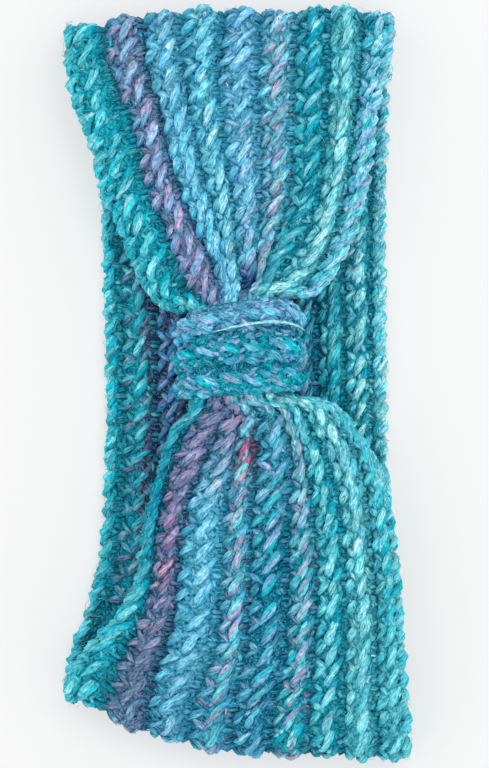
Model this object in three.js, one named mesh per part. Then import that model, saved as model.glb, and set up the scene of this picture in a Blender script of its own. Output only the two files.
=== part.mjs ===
// A crocheted ear warmer headband. A wide band of nine ribs is sewn into a loop, and a small
// ribbed wrap draws it in at the front. It lies flattened on its back layer with the front up:
// +Y runs along the laid length, +X across the ribs and +Z up. Sizes are in millimetres.
import * as THREE from "three";

// The band, laid flat
const laidLength = 250; // over both folds
const bandWidth = 109; // across the nine ribs, before it is gathered
const fabricThickness = 6.5; // crests of one face to crests of the other
const grooveDepth = 2; // of the grooves between ribs
const crest = 0.6; // a rib's form, from a flat top near 0 to a narrow ridge at 2
const headGap = 7; // clear height between the two layers at the folds

// The gathered part of the front, inside the wrap
const gatherWidth = 33;
const squeeze = 0.65; // share of its lost width that the gathered fabric gains in thickness

// The wrap
const wrapWidth = 27; // along Y at its sides and underneath
const crownBow = 5.5; // how much further its upper edge reaches over the top
const wrapThickness = 4.5;
const wrapGroove = 1.2; // depth of the grooves between its ribs
const wrapRibs = 3;
const wrapAcross = 0.8; // its centre, right of the band's centre line
const wrapLowEdge = -5.1; // its lower edge from the middle of the laid length
const lowTilt = 0.06; // rise of its lower edge for each mm across
const highTilt = 0.14; // rise of its upper edge for each mm across
const fitGap = 0.4; // between the wrap and the fabric that it touches

// The nine ribs from left to right. Width is relative. Top and bottom are how far each rib's
// fold stops short of the laid length, as a share of it.
const ribs = [
  { width: 1.12, top: 0.026, bottom: 0.075 },
  { width: 1.05, top: 0.014, bottom: 0.04 },
  { width: 1.08, top: 0.009, bottom: 0.025 },
  { width: 1.12, top: 0.003, bottom: 0.009 },
  { width: 1.03, top: 0.003, bottom: 0.005 },
  { width: 0.98, top: 0.007, bottom: 0.004 },
  { width: 0.88, top: 0.002, bottom: 0.004 },
  { width: 0.9, top: 0, bottom: 0 },
  { width: 0.84, top: 0.01, bottom: 0.001 },
];

// The front above and below the wrap, from the wrap's edge (out 0) to the fold (out 1). Left and
// right are the edges' distances from the centre line, as shares of half the band's width. Crowd
// draws the middle ribs together, lean the left ones, and pleat those at the creases. Crease is
// how far the upper face sinks there, as a share of half the thickness.
const pleats = 3;
const risenBy = 0.3; // of the way out, where the front has risen clear of the wrap's underside
const upperFront = [
  { out: 0.03, left: 0.37, right: 0.46, crowd: 0.5, lean: 0, pleat: 0.3, crease: 0.34 },
  { out: 0.1, left: 0.51, right: 0.59, crowd: 0.5, lean: 0, pleat: 0.4, crease: 0.42 },
  { out: 0.2, left: 0.61, right: 0.68, crowd: 0.35, lean: 0, pleat: 0.2, crease: 0.3 },
  { out: 0.35, left: 0.71, right: 0.76, crowd: 0.15, lean: 0, pleat: 0, crease: 0.12 },
  { out: 0.5, left: 0.82, right: 0.81, crowd: 0.05, lean: 0, pleat: 0, crease: 0 },
  { out: 0.7, left: 0.91, right: 0.84, crowd: 0, lean: 0, pleat: 0, crease: 0 },
  { out: 0.85, left: 1.01, right: 0.89, crowd: 0, lean: 0, pleat: 0, crease: 0 },
  { out: 1, left: 1.04, right: 0.95, crowd: 0, lean: 0, pleat: 0, crease: 0 },
];
const lowerFront = [
  { out: 0.03, left: 0.29, right: 0.58, crowd: 0.2, lean: 0, pleat: 0.6, crease: 0.4 },
  { out: 0.1, left: 0.39, right: 0.7, crowd: 0.1, lean: -0.1, pleat: 0.6, crease: 0.45 },
  { out: 0.2, left: 0.45, right: 0.84, crowd: 0, lean: -0.2, pleat: 0.4, crease: 0.32 },
  { out: 0.35, left: 0.52, right: 0.93, crowd: -0.1, lean: -0.28, pleat: 0.1, crease: 0.12 },
  { out: 0.5, left: 0.57, right: 0.97, crowd: -0.1, lean: -0.28, pleat: 0, crease: 0 },
  { out: 0.7, left: 0.59, right: 1, crowd: -0.05, lean: -0.28, pleat: 0, crease: 0 },
  { out: 0.8, left: 0.68, right: 1.01, crowd: 0, lean: -0.2, pleat: 0, crease: 0 },
  { out: 0.88, left: 0.93, right: 1.03, crowd: 0, lean: -0.1, pleat: 0, crease: 0 },
  { out: 1, left: 1.04, right: 1.05, crowd: 0, lean: 0, pleat: 0, crease: 0 },
];

// The back layer's edges, from the lower fold (along 0) to the upper one, in the same shares
const back = [
  { along: 0, left: 1.04, right: 1.05 },
  { along: 0.05, left: 0.99, right: 1.02 },
  { along: 0.1, left: 0.92, right: 1 },
  { along: 0.2, left: 0.83, right: 0.96 },
  { along: 0.3, left: 0.8, right: 0.94 },
  { along: 0.45, left: 0.79, right: 0.91 },
  { along: 0.75, left: 0.82, right: 0.9 },
  { along: 0.85, left: 0.86, right: 0.91 },
  { along: 0.95, left: 0.98, right: 0.93 },
  { along: 1, left: 1.04, right: 0.95 },
];

// How finely the surfaces are divided
const samplesPerRib = 5;
const lowerSteps = 16;
const wrappedSteps = 4;
const upperSteps = 13;
const foldSteps = 6;
const backSteps = 10;
const arcSteps = 10; // round each side of the wrap
const straightSteps = 4; // over and under the gather

const halfBand = bandWidth / 2;
const foldRadius = (fabricThickness + headGap) / 2; // of the fabric's middle surface
const foldReach = foldRadius + fabricThickness / 2;
const foldHeight = fabricThickness + headGap / 2; // of the line that it folds round
const bundleThickness = thicknessAt(gatherWidth);
const bundleFlat = (gatherWidth - bundleThickness) / 2; // half the width of its flat top
const underBundle = fabricThickness + fitGap + wrapThickness + fitGap;
const underFold = fabricThickness + headGap;
const wrapRadius = bundleThickness / 2 + fitGap + wrapThickness; // at the wrap's round sides

function mix(a, b, share) {
  return a + (b - a) * share;
}

// The thickness of the front where it is drawn in to a width.
function thicknessAt(width) {
  const gathered = Math.max(bandWidth / width - 1, 0);
  return fabricThickness * (1 + squeeze * gathered);
}

// A table's column at a place between its rows, on a smooth curve that never overshoots them.
function readTable(rows, key, column, at) {
  const last = rows.length - 1;
  const step = (i) => rows[i + 1][key] - rows[i][key];
  const slope = (i) => (rows[i + 1][column] - rows[i][column]) / step(i);
  const tangent = (i) => {
    const before = slope(Math.max(i - 1, 0));
    const after = slope(Math.min(i, last - 1));
    return before * after > 0 ? (2 * before * after) / (before + after) : 0;
  };
  let i = 0;
  while (i < last - 1 && at > rows[i + 1][key]) i += 1;
  const t = THREE.MathUtils.clamp((at - rows[i][key]) / step(i), 0, 1);
  const rise = t * t * (3 - 2 * t);
  const bend = tangent(i) * t * (1 - t) * (1 - t) - tangent(i + 1) * t * t * (1 - t);
  return mix(rows[i][column], rows[i + 1][column], rise) + step(i) * bend;
}

// Where the ribs' grooves lie across the fabric, from 0 at its left edge to 1 at its right edge.
function grooveLines(widths) {
  const total = widths.reduce((sum, width) => sum + width, 0);
  const lines = [0];
  for (const width of widths) lines.push(lines.at(-1) + width / total);
  return lines;
}

const bandGrooves = grooveLines(ribs.map((rib) => rib.width));
const wrapGrooves = grooveLines(new Array(wrapRibs).fill(1));
const foldEnds = ribs.map((rib, i) => ({
  across: (bandGrooves[i] + bandGrooves[i + 1]) / 2,
  top: rib.top,
  bottom: rib.bottom,
}));

// The points round a cut through ribbed fabric: its outer face, then its inner face, where the
// ribs are half a rib over. Groove is how far a point sinks, as a share of the groove's depth.
function fabricSection(grooves) {
  const sunk = (phase) => 1 - Math.sin(Math.PI * phase) ** crest; // from groove to groove
  const outer = [];
  const inner = [];
  for (let rib = 0; rib < grooves.length - 1; rib++) {
    for (let k = 0; k < samplesPerRib; k++) {
      const phase = k / samplesPerRib;
      const across = mix(grooves[rib], grooves[rib + 1], phase);
      outer.push({ across, side: 1, groove: sunk(phase) });
      inner.unshift({ across, side: -1, groove: sunk((phase + 0.5) % 1) });
    }
  }
  outer[0] = { across: 0, side: 0, groove: 0 };
  inner.pop();
  return [...outer, { across: 1, side: 0, groove: 0 }, ...inner];
}

// How far a point of the section lies from the fabric's middle surface. The edges are rounded.
function sectionOffset(point, thickness, width, depth) {
  const fromEdge = Math.min(point.across, 1 - point.across) * width;
  const inward = Math.max(1 - fromEdge / (thickness / 2), 0);
  const rounding = Math.sqrt(1 - inward * inward);
  return point.side * Math.max((thickness / 2) * rounding - point.groove * depth, 0);
}

// A closed ring of fabric, with a loop of points at each station round it.
function fabricRing(name, stations, section, color) {
  const positions = [];
  const indices = [];
  const around = stations.length;
  const loop = section.length;
  for (const place of stations) {
    for (const point of section) positions.push(...place(point));
  }
  for (let i = 0; i < around; i++) {
    for (let j = 0; j < loop; j++) {
      const a = i * loop + j;
      const b = i * loop + ((j + 1) % loop);
      const c = ((i + 1) % around) * loop + j;
      const d = ((i + 1) % around) * loop + ((j + 1) % loop);
      indices.push(a, b, d, a, d, c);
    }
  }
  const geometry = new THREE.BufferGeometry();
  geometry.setAttribute("position", new THREE.Float32BufferAttribute(positions, 3));
  geometry.setIndex(indices);
  geometry.computeVertexNormals();
  const material = new THREE.MeshStandardMaterial({ color, roughness: 0.9 });
  const mesh = new THREE.Mesh(geometry, material);
  mesh.name = name;
  return mesh;
}

// The wrap's two edges along Y. Crown is 1 over the flat top and falls to 0 at the sides.
const wrapLow = (x) => wrapLowEdge + lowTilt * (x - wrapAcross);
function wrapHigh(x, crown) {
  return wrapLowEdge + wrapWidth + crownBow * crown + highTilt * (x - wrapAcross);
}
function crownAt(x) {
  const over = Math.max(Math.abs(x - wrapAcross) - bundleFlat, 0) / wrapRadius;
  return Math.sqrt(Math.max(1 - over * over, 0));
}

// The gathered part, from which both front tables start at the wrap's edges
const bundle = {
  out: 0,
  left: (gatherWidth / 2 - wrapAcross) / halfBand,
  right: (gatherWidth / 2 + wrapAcross) / halfBand,
  crowd: 0.45,
  lean: 0,
  pleat: 0.3,
  crease: 0.1,
};
const upperTable = [bundle, ...upperFront];
const lowerTable = [bundle, ...lowerFront];

// One row of a table at a place between its rows, with the edges in millimetres.
function rowAt(table, key, at) {
  const row = {};
  for (const column of Object.keys(table[0])) row[column] = readTable(table, key, column, at);
  row.left *= halfBand;
  row.right *= halfBand;
  row.width = row.left + row.right;
  return row;
}

// A point's place across the band, after its ribs are drawn together as the row says.
function xAt(row, point) {
  const turn = Math.PI * point.across;
  const crowd = ((row.crowd ?? 0) * Math.sin(2 * turn)) / (2 * Math.PI);
  const lean = ((row.lean ?? 0) * Math.sin(turn)) / Math.PI;
  const pleat = ((row.pleat ?? 0) * Math.sin(2 * pleats * turn)) / (2 * pleats * Math.PI);
  return mix(-row.left, row.right, point.across + crowd + lean - pleat);
}

// The height of a point of the front over its underside. Creases sink only the upper face.
function frontHeight(row, point) {
  const thickness = thicknessAt(row.width);
  const offset = sectionOffset(point, thickness, row.width, grooveDepth);
  const nearCrease = (1 + Math.cos(2 * Math.PI * pleats * point.across)) / 2;
  const sunk = Math.max(offset, 0) * row.crease * nearCrease;
  return thickness / 2 + offset - sunk;
}

// Where a rib starts to fold, along Y.
function foldY(end, point) {
  const short = laidLength * readTable(foldEnds, "across", end, point.across);
  const reach = laidLength / 2 - short - foldReach;
  return end === "top" ? reach : -reach;
}

// The front from the wrap's edge (out 0) to a fold (out 1).
function placeFront(end, out) {
  const row = rowAt(end === "top" ? upperTable : lowerTable, "out", out);
  const underside = mix(underBundle, underFold, Math.min(out / risenBy, 1));
  return (point) => {
    const x = xAt(row, point);
    const edge = end === "top" ? wrapHigh(x, crownAt(x)) + fitGap : wrapLow(x) - fitGap;
    return [x, mix(edge, foldY(end, point), out), underside + frontHeight(row, point)];
  };
}

// The gathered front inside the wrap, from its lower edge (share 0) to its upper edge.
function placeWrapped(share) {
  const row = rowAt(upperTable, "out", 0);
  return (point) => {
    const x = xAt(row, point);
    const y = mix(wrapLow(x) - fitGap, wrapHigh(x, crownAt(x)) + fitGap, share);
    return [x, y, underBundle + frontHeight(row, point)];
  };
}

// A fold, from the front (turn 0) half way round to the back (turn 1).
function placeFold(end, turn) {
  const row = rowAt(back, "along", end === "top" ? 1 : 0);
  const outward = end === "top" ? 1 : -1;
  const angle = Math.PI * turn;
  return (point) => {
    const radius = foldRadius + sectionOffset(point, fabricThickness, row.width, grooveDepth);
    const y = foldY(end, point) + outward * radius * Math.sin(angle);
    return [xAt(row, point), y, foldHeight + radius * Math.cos(angle)];
  };
}

// The back, from the lower fold (along 0) to the upper one, with its outer face down.
function placeBack(along) {
  const row = rowAt(back, "along", along);
  return (point) => {
    const offset = sectionOffset(point, fabricThickness, row.width, grooveDepth);
    const y = mix(foldY("bottom", point), foldY("top", point), along);
    return [xAt(row, point), y, fabricThickness / 2 - offset];
  };
}

// Once round the loop: up the front, over the upper fold, down the back and round again.
function bandStations() {
  const nearWrap = (k, steps) => (k / steps) ** 1.25; // stations lie closer near the wrap
  const stations = [];
  for (let k = lowerSteps; k >= 0; k--) {
    stations.push(placeFront("bottom", nearWrap(k, lowerSteps)));
  }
  for (let k = 1; k < wrappedSteps; k++) stations.push(placeWrapped(k / wrappedSteps));
  for (let k = 0; k <= upperSteps; k++) {
    stations.push(placeFront("top", nearWrap(k, upperSteps)));
  }
  for (let k = 1; k < foldSteps; k++) stations.push(placeFold("top", k / foldSteps));
  for (let k = backSteps; k >= 0; k--) stations.push(placeBack(k / backSteps));
  for (let k = foldSteps - 1; k > 0; k--) stations.push(placeFold("bottom", k / foldSteps));
  return stations;
}

// A cut through the wrap where the middle of its wall faces outwards at an angle.
function placeWrap(flat, angle) {
  const outX = Math.cos(angle);
  const outZ = Math.sin(angle);
  return (point) => {
    const offset = sectionOffset(point, wrapThickness, wrapWidth + crownBow, wrapGroove);
    const radius = wrapRadius - wrapThickness / 2 + offset;
    const x = wrapAcross + flat + outX * radius;
    const z = underBundle + bundleThickness / 2 + outZ * radius;
    return [x, mix(wrapLow(x), wrapHigh(x, Math.max(outZ, 0)), point.across), z];
  };
}

// Once round the wrap: each round side, then the flat top or underside that follows it.
function wrapStations() {
  const stations = [];
  for (const side of [1, -1]) {
    const start = (-side * Math.PI) / 2;
    for (let k = 0; k < arcSteps; k++) {
      stations.push(placeWrap(side * bundleFlat, start + (Math.PI * k) / arcSteps));
    }
    for (let k = 0; k < straightSteps; k++) {
      const flat = side * mix(bundleFlat, -bundleFlat, k / straightSteps);
      stations.push(placeWrap(flat, start + Math.PI));
    }
  }
  return stations;
}

const headband = new THREE.Group();
headband.add(fabricRing("band", bandStations(), fabricSection(bandGrooves), 0x2f9db0));
headband.add(fabricRing("center_wrap", wrapStations(), fabricSection(wrapGrooves), 0x6f9fc4));

// The origin is the middle of the footprint, on the surface that the headband lies on.
const box = new THREE.Box3().setFromObject(headband, true);
const middle = box.getCenter(new THREE.Vector3());
headband.position.set(-middle.x, -middle.y, -box.min.z);

export default headband;
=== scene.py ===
import math
from functools import partial

import bmesh
import bpy
import numpy as np
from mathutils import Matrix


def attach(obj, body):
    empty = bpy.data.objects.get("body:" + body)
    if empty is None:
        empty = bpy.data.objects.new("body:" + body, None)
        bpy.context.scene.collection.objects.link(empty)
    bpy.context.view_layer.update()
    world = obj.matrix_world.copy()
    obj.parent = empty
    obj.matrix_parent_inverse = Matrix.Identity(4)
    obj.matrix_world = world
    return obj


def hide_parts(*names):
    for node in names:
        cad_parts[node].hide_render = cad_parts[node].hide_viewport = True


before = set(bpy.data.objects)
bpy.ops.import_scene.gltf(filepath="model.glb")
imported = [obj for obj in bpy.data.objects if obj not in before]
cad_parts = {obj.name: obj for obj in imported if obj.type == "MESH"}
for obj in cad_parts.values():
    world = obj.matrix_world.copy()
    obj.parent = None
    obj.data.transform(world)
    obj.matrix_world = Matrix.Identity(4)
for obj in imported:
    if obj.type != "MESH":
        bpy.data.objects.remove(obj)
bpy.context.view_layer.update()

mm = 0.001
rng = np.random.default_rng(41)

# The band as it lies. Sizes and shares are the solid's own, so the yarn follows its faces, but
# the left edge below the wrap runs in a gentler curve here.
band = dict(
    laidLength=250 * mm,
    width=109 * mm,
    thickness=6.5 * mm,
    headGap=7 * mm,
    gatherWidth=33 * mm,
    squeeze=0.65,
    pleats=3,
    risenBy=0.3,
    stitchLength=7.3 * mm,
)
wrap = dict(
    width=27 * mm,
    crownBow=5.5 * mm,
    thickness=4.5 * mm,
    across=0.8 * mm,
    lowEdge=-5.1 * mm,
    lowTilt=0.06,
    highTilt=0.14,
    gap=0.4 * mm,
    ribs=3,
    stitchLength=7.2 * mm,
    flatLength=101 * mm,
)

# top and bottom are how far a rib ends short of the laid length, in shares of it. slant is how
# far its stitches lean.
ribs = [
    dict(width=1.12, top=0.026, bottom=0.075, slant=1.1),
    dict(width=1.05, top=0.014, bottom=0.04, slant=1.1),
    dict(width=1.08, top=0.009, bottom=0.025, slant=0.9),
    dict(width=1.12, top=0.003, bottom=0.009, slant=1.1),
    dict(width=1.03, top=0.003, bottom=0.005, slant=1.15),
    dict(width=0.98, top=0.007, bottom=0.004, slant=1.1),
    dict(width=0.88, top=0.002, bottom=0.004, slant=0.9),
    dict(width=0.9, top=0, bottom=0, slant=0.6),
    dict(width=0.84, top=0.01, bottom=0.001, slant=0.9),
]

# From the wrap's edge (at 0) to the fold (at 1), in shares of half the band's width
upperFront = [
    dict(at=0.03, left=0.37, right=0.46, crowd=0.5, lean=0, pleat=0.3, crease=0.34),
    dict(at=0.1, left=0.51, right=0.59, crowd=0.5, lean=0, pleat=0.4, crease=0.42),
    dict(at=0.2, left=0.61, right=0.68, crowd=0.35, lean=0, pleat=0.2, crease=0.3),
    dict(at=0.35, left=0.71, right=0.76, crowd=0.15, lean=0, pleat=0, crease=0.12),
    dict(at=0.5, left=0.82, right=0.81, crowd=0.05, lean=0, pleat=0, crease=0),
    dict(at=0.7, left=0.91, right=0.84, crowd=0, lean=0, pleat=0, crease=0),
    dict(at=0.85, left=1.01, right=0.89, crowd=0, lean=0, pleat=0, crease=0),
    dict(at=1, left=1.04, right=0.95, crowd=0, lean=0, pleat=0, crease=0),
]
lowerFront = [
    dict(at=0.03, left=0.29, right=0.58, crowd=0.2, lean=0, pleat=0.6, crease=0.4),
    dict(at=0.1, left=0.39, right=0.7, crowd=0.1, lean=-0.1, pleat=0.6, crease=0.45),
    dict(at=0.2, left=0.45, right=0.84, crowd=0, lean=-0.2, pleat=0.4, crease=0.32),
    dict(at=0.35, left=0.52, right=0.93, crowd=-0.1, lean=-0.28, pleat=0.1, crease=0.12),
    dict(at=0.5, left=0.57, right=0.97, crowd=-0.1, lean=-0.28, pleat=0, crease=0),
    dict(at=0.65, left=0.61, right=1, crowd=-0.07, lean=-0.28, pleat=0, crease=0),
    dict(at=0.78, left=0.73, right=1.01, crowd=-0.03, lean=-0.2, pleat=0, crease=0),
    dict(at=0.88, left=0.89, right=1.03, crowd=0, lean=-0.1, pleat=0, crease=0),
    dict(at=1, left=1.04, right=1.05, crowd=0, lean=0, pleat=0, crease=0),
]
# The back layer, from the lower fold (at 0) to the upper one
back = [
    dict(at=0, left=1.04, right=1.05),
    dict(at=0.05, left=0.99, right=1.02),
    dict(at=0.1, left=0.92, right=1),
    dict(at=0.2, left=0.83, right=0.96),
    dict(at=0.3, left=0.8, right=0.94),
    dict(at=0.45, left=0.79, right=0.91),
    dict(at=0.75, left=0.82, right=0.9),
    dict(at=0.85, left=0.86, right=0.91),
    dict(at=0.95, left=0.98, right=0.93),
    dict(at=1, left=1.04, right=0.95),
]


def smooth(t):
    return t * t * (3 - 2 * t)


def bell(x):
    return np.exp(-x * x)


# A table's column at any place, on a curve without overshoot
def readTable(rows, column, at, key="at"):
    last = len(rows) - 1

    def slope(i):
        rise = rows[i + 1][column] - rows[i][column]
        return rise / (rows[i + 1][key] - rows[i][key])

    def tangent(i):
        before, after = slope(max(i - 1, 0)), slope(min(i, last - 1))
        return 2 * before * after / (before + after) if before * after > 0 else 0

    i = 0
    while i < last - 1 and at > rows[i + 1][key]:
        i += 1
    low, high = rows[i], rows[i + 1]
    step = high[key] - low[key]
    t = min(max((at - low[key]) / step, 0), 1)
    bend = tangent(i) * t * (1 - t) ** 2 - tangent(i + 1) * t * t * (1 - t)
    return low[column] + (high[column] - low[column]) * smooth(t) + step * bend


def thicknessAt(width):
    gathered = max(band["width"] / width - 1, 0)
    return band["thickness"] * (1 + band["squeeze"] * gathered)


def grooveLines(widths):
    return np.concatenate([[0], np.cumsum(widths)]) / sum(widths)


bandGrooves = grooveLines([rib["width"] for rib in ribs])
wrapGrooves = grooveLines([1] * wrap["ribs"])
ribMiddles = (bandGrooves[:-1] + bandGrooves[1:]) / 2
foldEnds = [dict(rib, across=middle) for rib, middle in zip(ribs, ribMiddles)]

halfBand = band["width"] / 2
foldRadius = (band["thickness"] + band["headGap"]) / 2
foldReach = foldRadius + band["thickness"] / 2
foldHeight = band["thickness"] + band["headGap"] / 2
bundleThickness = thicknessAt(band["gatherWidth"])
bundleFlat = (band["gatherWidth"] - bundleThickness) / 2
underBundle = band["thickness"] + wrap["thickness"] + 2 * wrap["gap"]
underFold = band["thickness"] + band["headGap"]
wrapRadius = bundleThickness / 2 + wrap["gap"] + wrap["thickness"]

bundle = dict(
    at=0,
    left=(band["gatherWidth"] / 2 - wrap["across"]) / halfBand,
    right=(band["gatherWidth"] / 2 + wrap["across"]) / halfBand,
    crowd=0.45,
    lean=0,
    pleat=0.3,
    crease=0.1,
)
upperTable = [bundle] + upperFront
lowerTable = [bundle] + lowerFront

# The solid's own origin is the middle of its footprint, so the widest row gives the shift.
shiftX = (max(row["left"] for row in back) - max(row["right"] for row in back)) * halfBand / 2


def wrapLow(x):
    return wrap["lowEdge"] + wrap["lowTilt"] * (x - wrap["across"])


def wrapHigh(x, crown):
    reach = wrap["width"] + wrap["crownBow"] * crown
    return wrap["lowEdge"] + reach + wrap["highTilt"] * (x - wrap["across"])


def crownAt(x):
    over = np.maximum(np.abs(x - wrap["across"]) - bundleFlat, 0) / wrapRadius
    return np.sqrt(np.maximum(1 - over * over, 0))


# A ring of fabric: the middle of its wall on a grid, and which way is out. The grid goes round
# the loop, and round a cut through it: the outer face from 0 to 1, the inner one back from 1 to 2.
class Cloth:
    def __init__(self, cuts, skin):
        self.middles = np.array([cut[0] for cut in cuts])
        self.normals = np.array([cut[1] for cut in cuts])
        self.halves = np.array([cut[2] for cut in cuts])
        self.skin = skin  # half the thickness where nothing is gathered

    def blend(self, grid, i, j):
        iLow = np.floor(i).astype(int)
        jLow = np.floor(j).astype(int)
        rows, columns = grid.shape[:2]
        di, dj = (i - iLow)[..., None], (j - jLow)[..., None]

        def corner(a, b):
            return grid[(iLow + a) % rows, (jLow + b) % columns]

        low = corner(0, 0) * (1 - dj) + corner(0, 1) * dj
        high = corner(1, 0) * (1 - dj) + corner(1, 1) * dj
        return low * (1 - di) + high * di

    # loop is the share of the way round, cut the place in the cut, height from the flat middle
    def at(self, loop, cut, height):
        i = loop * len(self.middles)
        j = cut / 2 * self.middles.shape[1]
        middle = self.blend(self.middles, i, j)
        normal = self.blend(self.normals, i, j)
        normal /= np.linalg.norm(normal, axis=-1, keepdims=True)
        half = self.blend(self.halves[:, None, None], i, np.zeros_like(j))[..., 0]
        return middle + normal * (half - self.skin + height)[..., None], normal


acrossSteps = 108
cutSpacing = 1.8 * mm
wrapSteps = 112
courseSteps = 1200
acrossOuter = np.arange(acrossSteps) / acrossSteps
acrossAll = np.concatenate([acrossOuter, 1 - acrossOuter])
faceSide = np.concatenate([np.ones(acrossSteps), -np.ones(acrossSteps)])


def rowAt(table, at):
    row = {name: readTable(table, name, at) for name in table[0] if name != "at"}
    row["left"] *= halfBand
    row["right"] *= halfBand
    row["width"] = row["left"] + row["right"]
    return row


def acrossBand(row, across):
    turn = math.pi * across
    folds = 2 * band["pleats"]
    drawn = across + row.get("crowd", 0) * np.sin(2 * turn) / (2 * math.pi)
    drawn = drawn + row.get("lean", 0) * np.sin(turn) / math.pi
    drawn = drawn - row.get("pleat", 0) * np.sin(folds * turn) / (folds * math.pi)
    return -row["left"] + row["width"] * (drawn + row.get("shift", 0))


# How far the grooves between the ribs have slipped sideways in the drawn-in front, as shares of
# its width. The loose cloth takes this up within its own edges.
grooveSlip = dict(
    top=(0, 0.045, 0.028, 0.01, -0.015, 0, 0.008, 0.028, 0.025, 0),
    bottom=(0, -0.028, -0.02, 0.055, 0.025, 0.055, 0.03, 0.024, 0.014, 0),
    grownBy=dict(top=0.25, bottom=0.12),
    fadesOver=0.25,
    soften=0.02,
)


def slipAt(end, out):
    grown = min(out / grooveSlip["grownBy"][end], 1)
    left = min((1 - out) / grooveSlip["fadesOver"], 1)
    near = [acrossAll + step * grooveSlip["soften"] for step in (0, -1, 1)]
    slips = [np.interp(across, bandGrooves, grooveSlip[end]) for across in near]
    return smooth(grown) * smooth(left) * sum(slips) / len(slips)


def roundedEdges(across, width, half):
    inward = np.maximum(1 - np.minimum(across, 1 - across) * width / half, 0)
    return inward * np.where(across < 0.5, -1, 1), np.sqrt(1 - inward * inward)


def foldY(end, across):
    short = np.array([readTable(foldEnds, end, a, "across") for a in across])
    reach = band["laidLength"] * (0.5 - short) - foldReach
    return reach if end == "top" else -reach


foldTop = foldY("top", acrossAll)
foldBottom = foldY("bottom", acrossAll)


def cutThrough(x, y, z, sideways, upright, half, outY, outZ):
    out = faceSide * upright
    normals = np.stack([sideways, out * outY, out * outZ], axis=1)
    middles = np.stack([x - sideways * half + shiftX, y, z], axis=1)
    return middles, normals, half


def frontCut(table, at, yOf, underside, shift=0):
    row = dict(rowAt(table, at), shift=shift)
    half = thicknessAt(row["width"]) / 2
    x = acrossBand(row, acrossAll)
    sideways, upright = roundedEdges(acrossAll, row["width"], half)
    nearCrease = (1 + np.cos(2 * math.pi * band["pleats"] * acrossAll)) / 2
    sunk = np.where(faceSide > 0, half * upright * row["crease"] * nearCrease, 0)
    return cutThrough(x, yOf(x), underside + half - sunk, sideways, upright, half, 0, 1)


def placeFront(end, out):
    underside = underBundle + (underFold - underBundle) * min(out / band["risenBy"], 1)

    def yOf(x):
        if end == "top":
            edge, fold = wrapHigh(x, crownAt(x)) + wrap["gap"], foldTop
        else:
            edge, fold = wrapLow(x) - wrap["gap"], foldBottom
        return edge + (fold - edge) * out

    table = upperTable if end == "top" else lowerTable
    return frontCut(table, out, yOf, underside, slipAt(end, out))


def placeWrapped(share):
    def yOf(x):
        low, high = wrapLow(x) - wrap["gap"], wrapHigh(x, crownAt(x)) + wrap["gap"]
        return low + (high - low) * share

    return frontCut(upperTable, 0, yOf, underBundle)


def placeFold(end, turn):
    row = rowAt(back, 1 if end == "top" else 0)
    half = band["thickness"] / 2
    outward, fold = (1, foldTop) if end == "top" else (-1, foldBottom)
    outY, outZ = outward * math.sin(math.pi * turn), math.cos(math.pi * turn)
    x = acrossBand(row, acrossAll)
    sideways, upright = roundedEdges(acrossAll, row["width"], half)
    z = np.full_like(x, foldHeight + foldRadius * outZ)
    return cutThrough(x, fold + foldRadius * outY, z, sideways, upright, half, outY, outZ)


def placeBack(share):
    row = rowAt(back, share)
    half = band["thickness"] / 2
    x = acrossBand(row, acrossAll)
    sideways, upright = roundedEdges(acrossAll, row["width"], half)
    y = foldBottom + (foldTop - foldBottom) * share
    return cutThrough(x, y, np.full_like(x, half), sideways, upright, half, 0, -1)


# The stretches of the loop in order, with their lengths at the middle rib
middleRib = acrossSteps // 2
stretches = [
    ("lower", wrapLow(0) - foldBottom[middleRib], lambda t: placeFront("bottom", 1 - t)),
    ("wrapped", wrap["width"] + wrap["crownBow"], placeWrapped),
    ("upper", foldTop[middleRib] - wrapHigh(0, 1), lambda t: placeFront("top", t)),
    ("topFold", math.pi * foldRadius, lambda t: placeFold("top", t)),
    ("back", foldTop[middleRib] - foldBottom[middleRib], lambda t: placeBack(1 - t)),
    ("bottomFold", math.pi * foldRadius, lambda t: placeFold("bottom", 1 - t)),
]
loopLength = sum(length for name, length, place in stretches)
stretchStart = {}
soFar = 0
for name, length, place in stretches:
    stretchStart[name] = soFar / loopLength
    soFar += length


def bandCuts():
    cuts = []
    count = round(loopLength / cutSpacing)
    for k in range(count):
        left = k / count * loopLength
        for name, length, place in stretches:
            if left < length:
                cuts.append(place(left / length))
                break
            left -= length
    return cuts


def wrapCuts():
    half = wrap["thickness"] / 2
    middleRadius = wrapRadius - half
    straight, arc = 2 * bundleFlat, math.pi * middleRadius
    height = underBundle + bundleThickness / 2
    cuts = []
    for k in range(wrapSteps):
        way = k / wrapSteps * 2 * (straight + arc)
        side = 1 if way < straight + arc else -1
        way %= straight + arc
        angle = -side * math.pi / 2 + math.pi * min(way / arc, 1)
        flat = side * (bundleFlat - max(way - arc, 0))
        outX, outZ = math.cos(angle), math.sin(angle)
        x = wrap["across"] + flat + outX * middleRadius
        crown = max(outZ, 0)
        low, high = wrapLow(x), wrapHigh(x, crown)
        endways, upright = roundedEdges(acrossAll, high - low, half)
        out = faceSide * upright
        y = low + (high - low) * acrossAll - endways * half
        z = height + outZ * middleRadius
        middles = np.stack([np.full_like(y, x + shiftX), y, np.full_like(y, z)], axis=1)
        normals = np.stack([out * outX, endways, out * outZ], axis=1)
        cuts.append((middles, normals, half))
    return cuts


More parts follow.
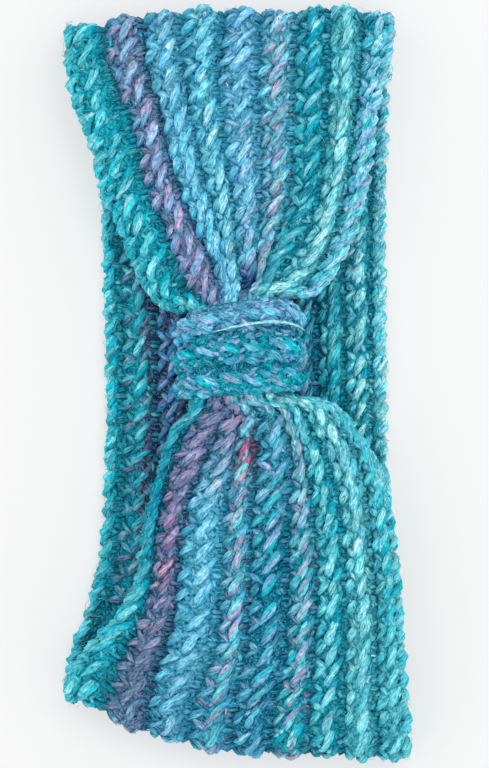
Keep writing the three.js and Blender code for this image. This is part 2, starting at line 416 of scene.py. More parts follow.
# A row of evenly spaced stitches along one rib, however the rib is drawn out or crowded
class Course:
    def __init__(self, cloth, cut, spacing):
        self.loop = np.linspace(0, 1, courseSteps)
        flat = np.zeros_like(self.loop)
        points = cloth.at(self.loop, np.full_like(self.loop, cut), flat)[0]
        steps = np.linalg.norm(np.diff(points, axis=0), axis=-1)
        self.way = np.concatenate([[0], np.cumsum(steps)]) / steps.sum()
        self.stitches = round(steps.sum() / spacing)

    def at(self, stitch):
        rounds = np.asarray(stitch) / self.stitches
        return np.floor(rounds) + np.interp(rounds % 1, self.way, self.loop)


bandCloth = Cloth(bandCuts(), band["thickness"] / 2)
wrapCloth = Cloth(wrapCuts(), wrap["thickness"] / 2)
print("cloth laid:", len(bandCloth.middles), "cuts round the band")

# The yarn's colours, and which of them each rib shows where
palette = dict(
    teal=(0.0, 0.69, 0.77),
    deepTeal=(0.0, 0.53, 0.64),
    aqua=(0.42, 0.82, 0.87),
    paleAqua=(0.57, 0.87, 0.90),
    sky=(0.38, 0.77, 0.89),
    paleBlue=(0.50, 0.83, 0.94),
    blue=(0.22, 0.50, 0.72),
    periwinkle=(0.53, 0.71, 0.88),
    mauve=(0.57, 0.58, 0.74),
    plum=(0.37, 0.35, 0.52),
    navy=(0.05, 0.16, 0.42),
    crimson=(0.62, 0.32, 0.48),
)
# Each place on a rib: the two plies of its rope, and the yarn of its bumps and bars
ribTones = [
    dict(
        lower=("teal", "aqua", "teal"),
        upper=("teal", "aqua", "teal"),
        back=("aqua", "teal", "teal"),
    ),
    dict(
        lower=("mauve", "plum", "mauve"),
        upper=("mauve", "periwinkle", "mauve"),
        back=("aqua", "teal", "plum"),
    ),
    dict(
        lower=("sky", "paleBlue", "sky"),
        upper=("paleBlue", "sky", "paleBlue"),
        back=("periwinkle", "blue", "plum"),
    ),
    dict(
        lower=("mauve", "aqua", "sky"),
        upper=("aqua", "paleBlue", "sky"),
        back=("mauve", "teal", "blue"),
    ),
    dict(
        lower=("periwinkle", "teal", "deepTeal"),
        upper=("periwinkle", "paleBlue", "paleBlue"),
        back=("teal", "periwinkle", "blue"),
    ),
    dict(
        lower=("mauve", "aqua", "teal"),
        upper=("aqua", "mauve", "paleBlue"),
        back=("mauve", "aqua", "teal"),
    ),
    dict(
        lower=("aqua", "aqua", "teal"),
        upper=("aqua", "deepTeal", "teal"),
        back=("periwinkle", "teal", "deepTeal"),
    ),
    dict(
        lower=("paleAqua", "aqua", "aqua"),
        upper=("aqua", "paleAqua", "aqua"),
        back=("aqua", "teal", "teal"),
    ),
    dict(
        lower=("aqua", "teal", "aqua"),
        upper=("periwinkle", "aqua", "teal"),
        back=("aqua", "paleAqua", "teal"),
    ),
]
wrapTones = [
    ("periwinkle", "teal", "teal"),
    ("periwinkle", "teal", "teal"),
    ("periwinkle", "sky", "periwinkle"),
]


def linear(color):
    return np.where(color <= 0.04045, color / 12.92, ((color + 0.055) / 1.055) ** 2.4)


linearPalette = {name: linear(np.array(color)) for name, color in palette.items()}
toneStops = [
    ("lower", stretchStart["wrapped"] / 2),
    ("upper", (stretchStart["upper"] + stretchStart["topFold"]) / 2),
    ("back", (stretchStart["back"] + stretchStart["bottomFold"]) / 2),
]


# Short lengths of another colour, by rib: where they are on the loop, and how far they reach. The mauve
# and crimson are the yarn's own; the navy on rib 5 is painted shade in the hollow where the ribs crowd
# into the wrap's top edge, and the deep teal on rib 1 is painted shade on its raised rim below the wrap.
accentsAndShade = {
    0: dict(tone="deepTeal", at=stretchStart["wrapped"] * 0.7, reach=0.07, plies=(0, 1, 2)),
    2: dict(tone="mauve", at=stretchStart["wrapped"], reach=0.05, plies=(0, 1, 2)),
    3: dict(tone="crimson", at=stretchStart["wrapped"] - 0.035, reach=0.018, plies=(0, 2)),
    4: dict(tone="navy", at=stretchStart["upper"] + 0.008, reach=0.012, plies=(0, 1, 2)),
}


# The colour of one ply on a rib, which changes along the loop from stop to stop
def bandTone(rib, ply):
    stops = [(at, linearPalette[ribTones[rib][name][ply]]) for name, at in toneStops]
    stops = [(stops[-1][0] - 1, stops[-1][1])] + stops + [(stops[0][0] + 1, stops[0][1])]
    places = [at for at, color in stops]
    overlay = accentsAndShade.get(rib)

    def color(loop):
        around = np.mod(loop, 1)
        channels = [[tone[k] for at, tone in stops] for k in range(3)]
        tone = np.stack([np.interp(around, places, channel) for channel in channels], -1)
        # a length of another tone: the yarn's own colour on some ribs, painted shade on others
        if overlay and ply in overlay["plies"]:
            share = bell((around - overlay["at"]) / overlay["reach"])[..., None]
            tone = tone * (1 - share) + linearPalette[overlay["tone"]] * share
        return tone

    return color


def wrapTone(rib, ply):
    plain = linearPalette[wrapTones[rib][ply]]
    return lambda loop: np.broadcast_to(plain, np.shape(loop) + (3,))


# One stitch of the ribbing. Along is in stitches, across in ribs, and height in millimetres from
# the middle of the flat fabric. The rope is the loop that each stitch leaves free. Radius and
# spread are in millimetres, and twist in turns.
plainStrand = dict(plies=1, spread=0, twist=0, start=None, round=0)
tuft = dict(plainStrand, name="tuft", copies=3, bend=0.14, points=4, where="top", fluff=0.8)
bar = dict(plainStrand, points=4, plies=2, radius=0.78, spread=0.92, twist=0.08)
bar.update(start=math.pi / 2, where="outside", fluff=0.8)
stitchStrands = [
    dict(
        plainStrand,
        name="rope",
        path=[
            (-0.54, 0.34, 0.2),
            (-0.36, 0.39, 1.5),
            (-0.08, 0.47, 2.5),
            (0.2, 0.56, 2.6),
            (0.42, 0.63, 1.8),
            (0.57, 0.68, 0.3),
        ],
        points=7,
        plies=2,
        radius=0.92,
        spread=0.62,
        twist=0.75,
        tones=(0, 1),
        round=1,
        where="all",
        fluff=2,
    ),
    dict(
        plainStrand,
        name="underRope",
        path=[
            (-0.05, 0.52, 0.2),
            (0.15, 0.57, 1.2),
            (0.45, 0.67, 1.7),
            (0.7, 0.76, 1.3),
            (0.85, 0.82, 0.2),
        ],
        points=5,
        radius=1.1,
        tones=(2,),
        round=1,
        where="top",
        fluff=1,
    ),
    dict(
        plainStrand,
        name="bump",
        path=[
            (-0.34, 0.0, 0.4),
            (-0.16, 0.06, 1.7),
            (0.04, 0.14, 2.2),
            (0.22, 0.24, 2.0),
            (0.38, 0.34, 0.4),
        ],
        points=6,
        plies=2,
        radius=0.86,
        spread=0.6,
        twist=0.5,
        tones=(2, 1),
        round=1,
        where="outside",
        fluff=2,
    ),
    dict(
        plainStrand,
        name="cross",
        path=[(0.24, 0.36, 0.3), (0.38, 0.26, 1.7), (0.52, 0.15, 1.8), (0.66, 0.04, 0.4)],
        points=5,
        radius=0.95,
        tones=(0,),
        where="top",
        fluff=1.4,
    ),
    dict(
        tuft,
        path=[(-0.24, 0.0, 0.2), (-0.08, 0.0, 1.5), (0.08, 0.0, 1.6), (0.24, 0.0, 0.3)],
        radius=0.66,
        tones=(1,),
    ),
    dict(
        tuft,
        path=[(-0.24, 0.0, 0.2), (-0.08, 0.0, 1.7), (0.08, 0.0, 1.7), (0.24, 0.0, 0.3)],
        radius=0.62,
        tones=(0,),
    ),
    dict(
        bar,
        name="barLow",
        path=[(-0.02, 0.76, 0.4), (0.0, 0.86, 1.4), (0.02, 0.98, 1.4), (0.04, 1.1, 0.3)],
        tones=(2, 0),
    ),
    dict(
        bar,
        name="barHigh",
        path=[(0.48, 0.76, 0.4), (0.5, 0.86, 1.4), (0.52, 0.98, 1.4), (0.54, 1.1, 0.3)],
        tones=(1, 2),
    ),
]
# The chain along both edges of the band. Width is a share of the band's.
edgeStrand = dict(
    plainStrand,
    name="edge",
    path=[(-0.6, 0.3, 0.6), (-0.35, 0.38, 1.8), (0, 0.5, 2.3), (0.35, 0.62, 1.8), (0.6, 0.7, 0.6)],
    points=6,
    plies=2,
    radius=0.9,
    spread=0.6,
    twist=0.5,
    tones=(0, 2),
    round=1,
    fluff=1.6,
    spacing=5 * mm,
    width=0.035,
)
jitter = dict(
    along=0.1,
    across=0.03,
    slant=0.2,
    height=0.2,
    radius=0.13,
    start=0.5,
    tone=0.12,
    red=0.16,
    marl=0.5,
)
shadePowers = np.array([2.6, 1.05, 0.85])  # shaded yarn keeps its colour, so red goes first
# Painted shade: how much darker yarn is made where it dips under its neighbours, below a height in
# millimetres
paintedSinkShade = dict(shade=0.62, below=1.9, over=2)
ribGroove = dict(depth=1.6, foldDepth=1.8, reach=12 * mm)  # depths in millimetres
ropeHeight = dict(open=3, foldDrop=1)
crestPower = dict(open=0.7, foldDrop=0.3)
taper = dict(ends=0.72, swell=0.36)
tuftLie = dict(swing=1.2, along=0.5, over=(0.3, 1.1), flatten=0.6)


def ribCrest(phase, power=crestPower["open"]):
    return np.abs(np.sin(math.pi * np.mod(phase, 1))) ** power


# How near a place is to the folds at the two ends
def nearFold(loop):
    near = np.zeros(np.shape(loop))
    for name in ("topFold", "bottomFold"):
        middle = stretchStart[name] + math.pi * foldRadius / 2 / loopLength
        away = (np.mod(loop - middle + 0.5, 1) - 0.5) * loopLength / ribGroove["reach"]
        near = near + bell(away)
    return near


# The ribs' grooves sink, and most of all where they go round the folds
def grooveDepth(loop):
    return ribGroove["depth"] + ribGroove["foldDepth"] * nearFold(loop)


def smoothPath(path, count):
    path = np.array(path)
    steps = np.linspace(0, len(path) - 1, count)
    padded = np.vstack([2 * path[0] - path[1], path, 2 * path[-1] - path[-2]])
    out = []
    for step in steps:
        i = min(int(step), len(path) - 2)
        t = step - i
        a, b, c, d = padded[i : i + 4]
        square = 2 * a - 5 * b + 4 * c - d
        cube = 3 * b - a - 3 * c + d
        out.append(0.5 * (2 * b + (c - a) * t + square * t**2 + cube * t**3))
    return np.array(out)


def keepOffFloor(points, radius):
    points[..., 2] = np.maximum(points[..., 2], radius * mm)


# Many stitches' worth of one strand: its centre lines, radii and colours, ply by ply
def layStrand(cloth, strand, places, toneOf):
    low, high, side, course = places["low"], places["high"], places["side"], places["course"]
    stitch = np.repeat(places["stitches"], strand.get("copies", 1) * places.get("tufts", 1))
    count = len(stitch)
    path = smoothPath(strand["path"], strand["points"])
    t = np.linspace(0, 1, strand["points"])
    if strand["name"] == "tuft":
        heading = rng.uniform(-1, 1, (count, 1)) * places.get("swing", tuftLie["swing"])
        bend = rng.normal(0, strand["bend"], (count, 1)) * np.sin(math.pi * t)
        along = rng.uniform(-tuftLie["along"], tuftLie["along"], (count, 1))
        along = along + path[:, 0] * np.cos(heading) - bend * np.sin(heading)
        across = path[:, 0] * np.sin(heading) + bend * np.cos(heading)
        over = places.get("tuftsOver", tuftLie["over"])
        across = rng.uniform(*over, (count, 1)) + across * tuftLie["flatten"]
    else:
        along = path[:, 0] + rng.normal(0, jitter["along"], (count, 1))
        middle = path[:, 1].mean()
        slant = places["slant"] * (1 + rng.normal(0, jitter["slant"], (count, 1)))
        across = middle + (path[:, 1] - middle) * slant + rng.normal(0, jitter["across"], (count, 1))
    height = path[:, 2] + rng.normal(0, jitter["height"], (count, 1))
    if strand["name"] != "tuft":
        height = height - places.get("ropeDrop", 0)
    around = course.at(stitch[:, None] + side * along)
    fold = nearFold(around) if cloth is bandCloth else np.zeros_like(around)
    height = np.minimum(height, ropeHeight["open"] - ropeHeight["foldDrop"] * fold)
    crest = ribCrest(across, crestPower["open"] - crestPower["foldDrop"] * fold)
    height = height - grooveDepth(around) * places["groove"] * (1 - crest)
    place = low + (high - low) * across
    cut = place if side > 0 else 2 - place
    lift = cloth.skin - (band["thickness"] / 2 - height * mm) * places["depth"]
    centre, normal = cloth.at(around, cut, lift)
    tangent = np.gradient(centre, axis=1)
    tangent /= np.linalg.norm(tangent, axis=-1, keepdims=True)
    beside = np.cross(tangent, normal)
    if strand["start"] is None:
        start = rng.uniform(0, 2 * math.pi, (count, 1))
    else:
        start = strand["start"] + rng.normal(0, jitter["start"], (count, 1))
    thick = taper["ends"] + taper["swell"] * np.sin(math.pi * t)
    size = thick * (1 + rng.normal(0, jitter["radius"], (count, 1)))
    # painted shade: the lower the yarn lies, the darker it is coloured
    shade = 1 - paintedSinkShade["shade"] * np.clip((paintedSinkShade["below"] - height) / paintedSinkShade["over"], 0, 1)
    radius = strand["radius"] * size
    plies = []
    other = toneOf((strand["tones"][0] + 1) % 3)(around)
    for ply in range(strand["plies"]):
        angle = start + 2 * math.pi * strand["twist"] * t + math.pi * ply
        offset = np.cos(angle)[..., None] * normal + np.sin(angle)[..., None] * beside
        points = centre + offset * strand["spread"] * mm
        # the strand's random tone, times that painted shade
        bright = np.exp(rng.normal(0, jitter["tone"], (count, 1, 1))) * shade[..., None] ** shadePowers
        bright = bright * np.exp(rng.normal(0, jitter["red"], (count, 1, 1)) * np.array([1, 0.15, 0]))
        marl = rng.uniform(0, jitter["marl"], (count, 1, 1))
        tone = toneOf(strand["tones"][ply])(around) * (1 - marl) + other * marl
        color = np.clip(tone * bright, 0, 1)
        keepOffFloor(points, radius)
        plies.append(dict(points=points, radius=radius, color=color, normal=normal, beside=beside))
    return plies


fluff = dict(
    points=3,
    span=(0.3, 0.55),
    lean=1.3,
    turn=0.6,
    near=0.94,
    rise=0.5,
    radius=(0.11, 0.2),
    thick=(0.7, 1, 0.7),
    glintGain=0.15,
    tone=0.6,
)


# Short loose fibres that lie on a ply and leave it at one end
def layFluff(ply, share):
    chosen = np.nonzero(rng.uniform(0, 1, len(ply["points"])) < share)[0]
    count = len(chosen)
    steps = ply["points"].shape[1]
    span = rng.uniform(*fluff["span"], (count, 1)) * (steps - 1)
    first = rng.uniform(0, 1, (count, 1)) * (steps - 1 - span)
    t = np.linspace(0, 1, fluff["points"])
    spots = first + span * t
    low = np.minimum(spots.astype(int), steps - 2)
    rest = (spots - low)[..., None]
    row = chosen[:, None]

    def along(values):
        return values[row, low] * (1 - rest) + values[row, low + 1] * rest

    lean = rng.uniform(-fluff["lean"], fluff["lean"], (count, 1))
    lean = lean + rng.normal(0, fluff["turn"], (count, 1)) * (2 * t - 1)
    out = np.cos(lean)[..., None] * along(ply["normal"]) + np.sin(lean)[..., None] * along(ply["beside"])
    away = fluff["near"] + rng.uniform(0, fluff["rise"], (count, 1)) * t**2
    reach = along(ply["radius"][..., None])[..., 0] * away
    radius = rng.uniform(*fluff["radius"], (count, 1)) * np.array(fluff["thick"])
    # random tone, brighter on average: painted glints on the loose fibres
    bright = np.exp(rng.normal(fluff["glintGain"], fluff["tone"], (count, 1, 1)))
    color = np.clip(along(ply["color"]) * bright, 0, 1)
    points = along(ply["points"]) + out * reach[..., None] * mm
    keepOffFloor(points, radius)
    return dict(points=points, radius=radius, color=color)


# Tubes along centre lines, as one closed mesh that keeps each ply's colour and fibre direction
def tubeMesh(name, plies, roundness):
    sides = 4 + 2 * roundness
    curve = bpy.data.curves.new(name, "CURVE")
    curve.dimensions = "3D"
    curve.bevel_depth = mm
    curve.bevel_resolution = roundness
    colors, fibres = [], []
    for ply in plies:
        points, radius, color = ply["points"], ply["radius"], ply["color"]
        lines, count = points.shape[:2]
        for k in range(lines):
            spline = curve.splines.new("POLY")
            spline.points.add(count - 1)
            spline.points.foreach_set("co", np.hstack([points[k], np.ones((count, 1))]).ravel())
            spline.points.foreach_set("radius", radius[k])
        steps = np.linalg.norm(np.diff(points, axis=1), axis=-1)
        way = np.concatenate([np.zeros((lines, 1)), np.cumsum(steps, axis=1)], axis=1) / mm
        way = way + rng.uniform(0, 900, (lines, 1))
        turn = np.arange(sides) / sides * 2 * math.pi
        ring = np.stack([np.cos(turn), np.sin(turn)], axis=-1)
        fibre = np.concatenate(
            [
                np.repeat(way[..., None, None], sides, axis=2),
                np.broadcast_to(ring, (lines, count, sides, 2)),
            ],
            axis=-1,
        )
        fibres.append(fibre.reshape(-1, 3))
        colors.append(np.repeat(color, sides, axis=1).reshape(-1, 3))
    holder = bpy.data.objects.new(name, curve)
    bpy.context.scene.collection.objects.link(holder)
    depsgraph = bpy.context.evaluated_depsgraph_get()
    mesh = bpy.data.meshes.new_from_object(holder.evaluated_get(depsgraph))
    bpy.data.objects.remove(holder)
    bpy.data.curves.remove(curve)
    color = np.vstack(colors)
    color = np.hstack([color, np.ones((len(color), 1))])
    mesh.attributes.new("yarnColor", "FLOAT_COLOR", "POINT").data.foreach_set("color", color.ravel())
    fibre = np.vstack(fibres)
    mesh.attributes.new("fibre", "FLOAT_VECTOR", "POINT").data.foreach_set("vector", fibre.ravel())
    return mesh


def shadeSmooth(mesh):
    mesh.polygons.foreach_set("use_smooth", np.ones(len(mesh.polygons), dtype=bool))


def closeEnds(mesh):
    bm = bmesh.new()
    bm.from_mesh(mesh)
    bmesh.ops.holes_fill(bm, edges=[edge for edge in bm.edges if edge.is_boundary], sides=0)
    bm.to_mesh(mesh)
    bm.free()
    shadeSmooth(mesh)


def joinMeshes(name, meshes):
    bm = bmesh.new()
    for mesh in meshes:
        bm.from_mesh(mesh)
    joined = bpy.data.meshes.new(name)
    bm.to_mesh(joined)
    bm.free()
    for mesh in meshes:
        bpy.data.meshes.remove(mesh)
    closeEnds(joined)
    return joined


def addPiece(name, mesh, material):
    piece = bpy.data.objects.new(name, mesh)
    bpy.context.scene.collection.objects.link(piece)
    mesh.materials.clear()
    mesh.materials.append(material)
    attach(piece, "root")
    return piece


def yarnPiece(name, batches, material):
    meshes = []
    for roundness in (0, 1):
        plies = [ply for strand, laid in batches if strand["round"] == roundness for ply in laid]
        if plies:
            meshes.append(tubeMesh(name, plies, roundness))
    return addPiece(name, joinMeshes(name, meshes), material)


# Materials: a socket that Python's operators can work with
class Wire:
    def __init__(self, tree, socket=None):
        self.tree = tree
        self.socket = socket

    def node(self, kind, sockets=None, output=0, **settings):
        made = self.tree.nodes.new(kind)
        for name, value in settings.items():
            setattr(made, name, value)
        for name, value in (sockets or {}).items():
            if isinstance(value, Wire):
                self.tree.links.new(value.socket, made.inputs[name])
            else:
                made.inputs[name].default_value = value
        return Wire(self.tree, made.outputs[output])

    def math(self, operation, a, b):
        return self.node("ShaderNodeMath", {0: a, 1: b}, operation=operation)

    def __add__(self, other):
        return self.math("ADD", self, other)

    def __sub__(self, other):
        return self.math("SUBTRACT", self, other)

    def __mul__(self, other):
        return self.math("MULTIPLY", self, other)

    def __rsub__(self, other):
        return self.math("SUBTRACT", other, self)

    def __pow__(self, other):
        return self.math("POWER", self, other)

    __radd__ = __add__
    __rmul__ = __mul__


def newMaterial(name):
    material = bpy.data.materials.new(name)
    material.use_nodes = True
    shader = material.node_tree.nodes["Principled BSDF"]
    return material, shader, Wire(material.node_tree)


woolRange = dict(darkest=0.05, fleckGlintLow=0.52, fleckGlintHigh=0.75)


# Painted light and shade along the fibres: streaks of painted highlight and shade, and small pale bits
# that are painted highlights on the silky fibres, partly paler fibre, over the strand's own colour
def woolMaterial(name, look):
    material, shader, wire = newMaterial(name)
    color = wire.node("ShaderNodeAttribute", attribute_name="yarnColor", output="Color")
    fibre = wire.node("ShaderNodeAttribute", attribute_name="fibre", output="Vector")
    stretched = wire.node("ShaderNodeMapping", {"Vector": fibre, "Scale": look["scale"]})
    streaks = wire.node("ShaderNodeTexNoise", {"Vector": stretched, "Scale": 1.0, "Detail": 2.0})
    bits = wire.node(
        "ShaderNodeTexVoronoi",
        {"Vector": stretched, "Scale": look["bits"]},
        output="Distance",
    )
    # painted highlight and shade from the streaks and the bits' cells
    shade = streaks * look["streakShade"] + bits * -look["bitShade"] + look["shadeBase"]
    shade = wire.math("MAXIMUM", shade, woolRange["darkest"])
    red, green, blue = (shade**power for power in look["powers"])
    grey = wire.node("ShaderNodeCombineColor", {0: red, 1: green, 2: blue})
    shaded = wire.node(
        "ShaderNodeMix",
        {"Factor": 1.0, 6: color, 7: grey},
        output=2,
        data_type="RGBA",
        blend_type="MULTIPLY",
    )
    fleckGlints = wire.node(
        "ShaderNodeTexNoise",
        {"Vector": stretched, "Scale": look["fleckGlintScale"], "Detail": 1.0},
    )
    pale = wire.node(
        "ShaderNodeMapRange",
        {
            "Value": fleckGlints,
            "From Min": woolRange["fleckGlintLow"],
            "From Max": woolRange["fleckGlintHigh"],
            "To Min": 0.0,
            "To Max": look["fleckGlint"],
        },
    )
    final = wire.node(
        "ShaderNodeMix",
        {"Factor": pale, 6: shaded, 7: look["fleckGlintColor"]},
        output=2,
        data_type="RGBA",
    )
    relief = streaks - bits * look["bitRelief"]
    bump = wire.node(
        "ShaderNodeBump", {"Height": relief, "Distance": look["relief"], "Strength": 1.0}
    )
    material.node_tree.links.new(final.socket, shader.inputs["Base Color"])
    material.node_tree.links.new(bump.socket, shader.inputs["Normal"])
    shader.inputs["Roughness"].default_value = look["roughness"]
    shader.inputs["Specular IOR Level"].default_value = look["gloss"]
    return material


yarn = woolMaterial(
    "wool_yarn",
    dict(
        scale=(0.6, 1.6, 1.6),
        bits=0.8,
        streakShade=3.4,
        bitShade=0.6,
        shadeBase=-0.2,
        powers=(1.7, 0.78, 0.66),
        fleckGlintScale=1.3,
        fleckGlint=0.42,
        fleckGlintColor=(0.22, 0.66, 0.77, 1),
        bitRelief=0.6,
        relief=0.5 * mm,
        roughness=0.6,
        gloss=0.03,
    ),
)
core = woolMaterial(
    "wool_core",
    dict(
        scale=(0.85, 0.85, 0.85),
        bits=0.8,
        streakShade=5,
        bitShade=1.2,
        shadeBase=-0.6,
        powers=(2, 0.8, 0.6),
        fleckGlintScale=1.7,
        fleckGlint=0.9,
        fleckGlintColor=(0.16, 0.55, 0.66, 1),
        bitRelief=1.4,
        relief=1.0 * mm,
        roughness=0.75,
        gloss=0.02,
    ),
)


# The dense heart of the fabric, which closes the gaps between the strands. Its colour carries painted
# shade: dark in the ribs' grooves, lighter on their crests, and darker overall than the strands over it.
def heartMesh(name, cloth, grooves, look, toneOf):
    alongSteps = look["alongSteps"]
    turns = 2 * look["ribSteps"] * (len(grooves) - 1)
    bm = bmesh.new()
    colorLayer = bm.verts.layers.float_color.new("yarnColor")
    fibreLayer = bm.verts.layers.float_vector.new("fibre")
    bmesh.ops.create_grid(bm, x_segments=alongSteps, y_segments=turns, size=0.5)
    verts = list(bm.verts)
    loop = np.array([v.co.x + 0.5 for v in verts])
    cut = np.array([v.co.y + 0.5 for v in verts]) * 2
    across = np.where(cut <= 1, cut, 2 - cut)
    outerPhase = np.interp(across, grooves, np.arange(len(grooves))) % 1
    phase = np.where(cut <= 1, outerPhase, (outerPhase + 0.5) % 1)
    edge = np.clip(1 - np.minimum(across, 1 - across) / look["edge"], 0, 1)
    crest = np.maximum(ribCrest(phase), edge)
    fall = look["fall"] + look["foldFall"] * (grooveDepth(loop) - ribGroove["depth"])
    height = look["high"] - fall * (1 - crest)
    skin = cloth.skin / mm
    lift = (skin - (band["thickness"] / 2 / mm - height) * look["depth"]) * mm
    points, normal = cloth.at(loop, cut, lift)
    rib = np.clip(np.searchsorted(grooves, across, side="right") - 1, 0, len(grooves) - 2)
    # painted shade: dark in the grooves, lighter on the crests
    shade = (look["grooveShade"] + (look["bright"] - look["grooveShade"]) * crest)[:, None] ** shadePowers
    colors = np.ones((len(verts), 4))
    for k in range(len(grooves) - 1):
        here = rib == k
        colors[here, :3] = toneOf(k, 2)(loop[here]) * shade[here]
    # the pattern's own place: the cloth as a plain hoop
    turn = 2 * math.pi * loop
    outward = look["hoop"] / mm + np.where(cut <= 1, height, -height)
    hoop = np.stack([outward * np.cos(turn), outward * np.sin(turn), across * look["width"] / mm], -1)
    for vert, point, color, place in zip(verts, points, colors, hoop):
        vert.co = point
        vert[colorLayer] = color
        vert[fibreLayer] = place
    bmesh.ops.remove_doubles(bm, verts=bm.verts, dist=0.01 * mm)
    bmesh.ops.recalc_face_normals(bm, faces=bm.faces)
    mesh = bpy.data.meshes.new(name)
    bm.to_mesh(mesh)
    bm.free()
    shadeSmooth(mesh)
    return mesh


# Each look gives the painted shade of its heart, in the grooves and on the crests
bandHeartLook = dict(
    alongSteps=136,
    ribSteps=6,
    edge=0.02,
    high=1.45,
    fall=2.0,
    foldFall=0.4,
    depth=1,
    grooveShade=0.28,
    bright=0.7,
    hoop=loopLength / (2 * math.pi),
    width=band["width"],
)
wrapHeartLook = dict(
    alongSteps=56,
    ribSteps=6,
    edge=0.05,
    high=1.45,
    fall=1.8,
    foldFall=0,
    depth=0.55,
    grooveShade=0.22,
    bright=0.5,
    hoop=wrap["flatLength"] / (2 * math.pi),
    width=wrap["width"] + wrap["crownBow"],
)
bandHeart = addPiece(
    "band_fabric",
    heartMesh("band_fabric", bandCloth, bandGrooves, bandHeartLook, bandTone),
    core,
)
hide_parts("band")

# The inner face's ribs lie half a rib over, so there is one more of them
between = np.concatenate([[-ribMiddles[0]], ribMiddles, [2 - ribMiddles[-1]]])
seenFromAbove = dict(backFrom=0.12, backTo=0.88, innerRibs=(0, 1, 2, 6, 7, 8, 9))


# Which stitches of a course show from above, which from below, and which lie inside the band
def sortStitches(course, side, rib):
    stitches = np.arange(course.stitches) + 0.5
    loop = course.at(stitches)
    back = (loop - stretchStart["back"]) / (stretchStart["bottomFold"] - stretchStart["back"])
    onBack = (back > 0) & (back < 1)
    if side > 0:
        top, under = ~onBack, onBack
    else:
        top = (back > seenFromAbove["backFrom"]) & (back < seenFromAbove["backTo"])
        top &= rib in seenFromAbove["innerRibs"]
        under = np.zeros_like(top)
    return dict(top=stitches[top], under=stitches[under], inside=stitches[~(top | under)])


shownIn = dict(all=("top", "under", "inside"), outside=("top", "under"), top=("top",))
bandFluff = {1: [], -1: []}
for rib in range(len(ribs) + 1):
    own = min(rib, len(ribs) - 1)
    tone = partial(bandTone, own)
    faces = [(-1, between[rib], between[rib + 1])]
    if rib < len(ribs):
        faces.append((1, bandGrooves[rib], bandGrooves[rib + 1]))
    batches = []
    for side, low, high in faces:
        middle = min(max((low + high) / 2, 0), 1)
        course = Course(bandCloth, middle if side > 0 else 2 - middle, band["stitchLength"])
        zones = sortStitches(course, side, rib)
        shared = dict(course=course, side=side, low=low, high=high, slant=ribs[own]["slant"])
        for strand in stitchStrands:
            laid = []
            for zone in shownIn[strand["where"]]:
                places = dict(shared, stitches=zones[zone], depth=1, groove=1)
                if len(places["stitches"]) == 0:
                    continue
                plies = layStrand(bandCloth, strand, places, tone)
                laid += plies
                if zone == "top":
                    bandFluff[side] += [layFluff(ply, strand["fluff"] / 2) for ply in plies * 2]
            batches.append((strand, laid))
    if rib in (0, len(ribs)):
        edge = 0 if rib == 0 else 1
        course = Course(bandCloth, edge, edgeStrand["spacing"])
        reach = edgeStrand["width"]
        places = dict(course=course, side=1, low=edge - reach, high=edge + reach)
        places.update(stitches=np.arange(course.stitches) + 0.5, slant=1, depth=1, groove=0)
        laid = layStrand(bandCloth, edgeStrand, places, tone)
        bandFluff[1] += [layFluff(ply, edgeStrand["fluff"] / 2) for ply in laid]
        batches.append((edgeStrand, laid))
    yarnPiece(f"band_rib_{rib + 1}", batches, yarn)

for side, name in ((1, "front_fluff"), (-1, "back_fluff")):
    mesh = joinMeshes(name, [tubeMesh(name, bandFluff[side], 0)])
    addPiece(name, mesh, yarn)
    print(name, "laid:", len(mesh.polygons), "faces")

wrapHeart = addPiece(
    "wrap_fabric",
    heartMesh("wrap_fabric", wrapCloth, wrapGrooves, wrapHeartLook, wrapTone),
    core,
)
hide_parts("center_wrap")
batches = []
wrapFluff = []
for rib in range(wrap["ribs"]):
    low, high = wrapGrooves[rib], wrapGrooves[rib + 1]
    course = Course(wrapCloth, (low + high) / 2, wrap["stitchLength"])
    places = dict(course=course, side=1, low=low, high=high, slant=0.7, depth=0.72, groove=0.6)
    places.update(swing=0.9, tuftsOver=(0, 1), ropeDrop=0.5)
    places["stitches"] = np.arange(course.stitches) + rng.uniform(0, 1)
    for strand in stitchStrands:
        crowded = dict(places, tufts=4 if strand["name"] == "tuft" else 1)
        laid = layStrand(wrapCloth, strand, crowded, partial(wrapTone, rib))
        wrapFluff += [layFluff(ply, strand["fluff"] / 2) for ply in laid * 2]
        batches.append((strand, laid))
# one pale length lies loose in the groove under the wrap's top rib
loose = dict(first=0.2, last=0.5, cut=0.69, sway=0.04, height=2.9, radius=0.5)
t = np.linspace(0, 1, 24)
loop = (loose["first"] + (loose["last"] - loose["first"]) * t)[None]
cut = (loose["cut"] + loose["sway"] * np.sin(math.pi * t))[None]
points = wrapCloth.at(loop, cut, np.full_like(loop, loose["height"] * mm))[0]
pale = np.broadcast_to(linearPalette["paleAqua"], points.shape)
radius = loose["radius"] * np.sin(math.pi * np.clip(t, 0.04, 0.96))[None] ** 0.4
batches.append((dict(round=1), [dict(points=points, radius=radius, color=pale)]))
wrapYarn = yarnPiece("wrap_yarn", batches, yarn)
wrapFluffMesh = joinMeshes("wrap_fluff", [tubeMesh("wrap_fluff", wrapFluff, 0)])
wrapFluffPiece = addPiece("wrap_fluff", wrapFluffMesh, yarn)
print("wrap crocheted:", len(wrapYarn.data.polygons), "faces")

# Loose fibres that stand off the yarn, most of them along the edges
fuzz = dict(
    edge=900,
    face=550,
    length=(2.5, 6),
    rise=(0.3, 1.5),
    radius=(0.04, 0.065),
    points=5,
    height=2.9,
    wander=1.2,
    arc=0.9,
    dip=0.8,
    paler=1.4,
    palerBy=0.08,
    edgeSpread=0.012,
    onOuter=0.65,
)


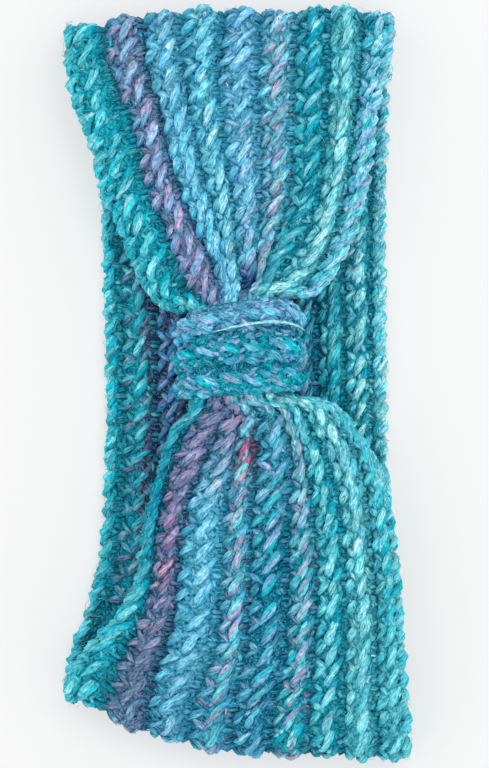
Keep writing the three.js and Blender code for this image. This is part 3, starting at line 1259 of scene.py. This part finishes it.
def layFibres(cloth, count, cutOf, toneOf):
    loop = rng.uniform(0, 1, (count, 1))
    cut = cutOf(count)[:, None]
    t = np.linspace(0, 1, fuzz["points"])
    length = rng.uniform(*fuzz["length"], (count, 1))
    heading = rng.uniform(0, 2 * math.pi, (count, 1))
    heading = heading + rng.normal(0, fuzz["wander"], (count, 1)) * t
    rise = rng.uniform(*fuzz["rise"], (count, 1))
    height = fuzz["height"] + rise * np.sin(math.pi * (t * fuzz["arc"]))
    height = height - fuzz["dip"] * (1 - t) ** 3
    step = length * mm / fuzz["points"]
    around = loop + np.cumsum(np.cos(heading) * step, axis=1) / loopLength
    place = cut + np.cumsum(np.sin(heading) * step, axis=1) / band["width"]
    points = cloth.at(around, np.mod(place, 2), height * mm)[0]
    radius = np.broadcast_to(rng.uniform(*fuzz["radius"], (count, 1)), points.shape[:2]).copy()
    keepOffFloor(points, radius)
    color = np.clip(toneOf(around) * fuzz["paler"] + fuzz["palerBy"], 0, 1)
    return dict(points=points, radius=radius, color=color)


def edgeCut(count):
    side = rng.integers(0, 2, count)
    return np.mod(side + rng.normal(0, fuzz["edgeSpread"], count), 2)


def faceCut(count):
    outer = rng.uniform(0, 1, count) < fuzz["onOuter"]
    return np.where(outer, rng.uniform(0, 1, count), rng.uniform(1, 2, count))


fibres = [
    layFibres(bandCloth, fuzz["edge"], edgeCut, bandTone(7, 0)),
    layFibres(bandCloth, fuzz["face"], faceCut, bandTone(3, 1)),
]
fuzzMesh = joinMeshes("loose_fibres", [tubeMesh("loose_fibres", fibres, 0)])
looseFibres = addPiece("loose_fibres", fuzzMesh, yarn)

# Floor, light and camera
photo = dict(width=489, height=768, scale=0.331 * mm, middleX=237.5, middleY=382.5)
floorLook = dict(half=3, base=0.4, roughness=0.9, gloss=0.1, glow=0.49)
ambient = 1.06


def makeFloor():
    bm = bmesh.new()
    bmesh.ops.create_grid(bm, x_segments=1, y_segments=1, size=floorLook["half"])
    mesh = bpy.data.meshes.new("floor")
    bm.to_mesh(mesh)
    bm.free()
    floor = bpy.data.objects.new("floor", mesh)
    bpy.context.scene.collection.objects.link(floor)
    material, shader = newMaterial("pale_floor")[:2]
    shader.inputs["Base Color"].default_value = (floorLook["base"],) * 3 + (1,)
    shader.inputs["Roughness"].default_value = floorLook["roughness"]
    shader.inputs["Specular IOR Level"].default_value = floorLook["gloss"]
    shader.inputs["Emission Color"].default_value = (1, 1, 1, 1)
    shader.inputs["Emission Strength"].default_value = floorLook["glow"]
    mesh.materials.append(material)


makeFloor()

world = bpy.data.worlds.new("studio")
world.use_nodes = True
world.node_tree.nodes["Background"].inputs["Color"].default_value = (1, 1, 1, 1)
world.node_tree.nodes["Background"].inputs["Strength"].default_value = ambient
bpy.context.scene.world = world


def softLight(name, place, size, power):
    light = bpy.data.lights.new(name, "AREA")
    light.size = size
    light.energy = power
    lamp = bpy.data.objects.new(name, light)
    lamp.location = place
    direction = -np.array(place)
    lamp.rotation_euler = (
        math.atan2(math.hypot(direction[0], direction[1]), -direction[2]),
        0,
        math.atan2(direction[0], -direction[1]),
    )
    bpy.context.scene.collection.objects.link(lamp)


softLight("key", (0.35, 0.5, 1.3), 0.7, 3.5)

cameraHeight = 1.5
sensor = 24
view = bpy.data.cameras.new("camera")
view.sensor_fit = "VERTICAL"
view.sensor_height = sensor
view.lens = sensor * cameraHeight / (photo["height"] * photo["scale"])
camera = bpy.data.objects.new("camera", view)
camera.location = (
    (photo["width"] / 2 - photo["middleX"]) * photo["scale"],
    (photo["middleY"] - photo["height"] / 2) * photo["scale"],
    cameraHeight,
)
bpy.context.scene.collection.objects.link(camera)
bpy.context.scene.camera = camera
bpy.context.scene.view_settings.view_transform = "Standard"
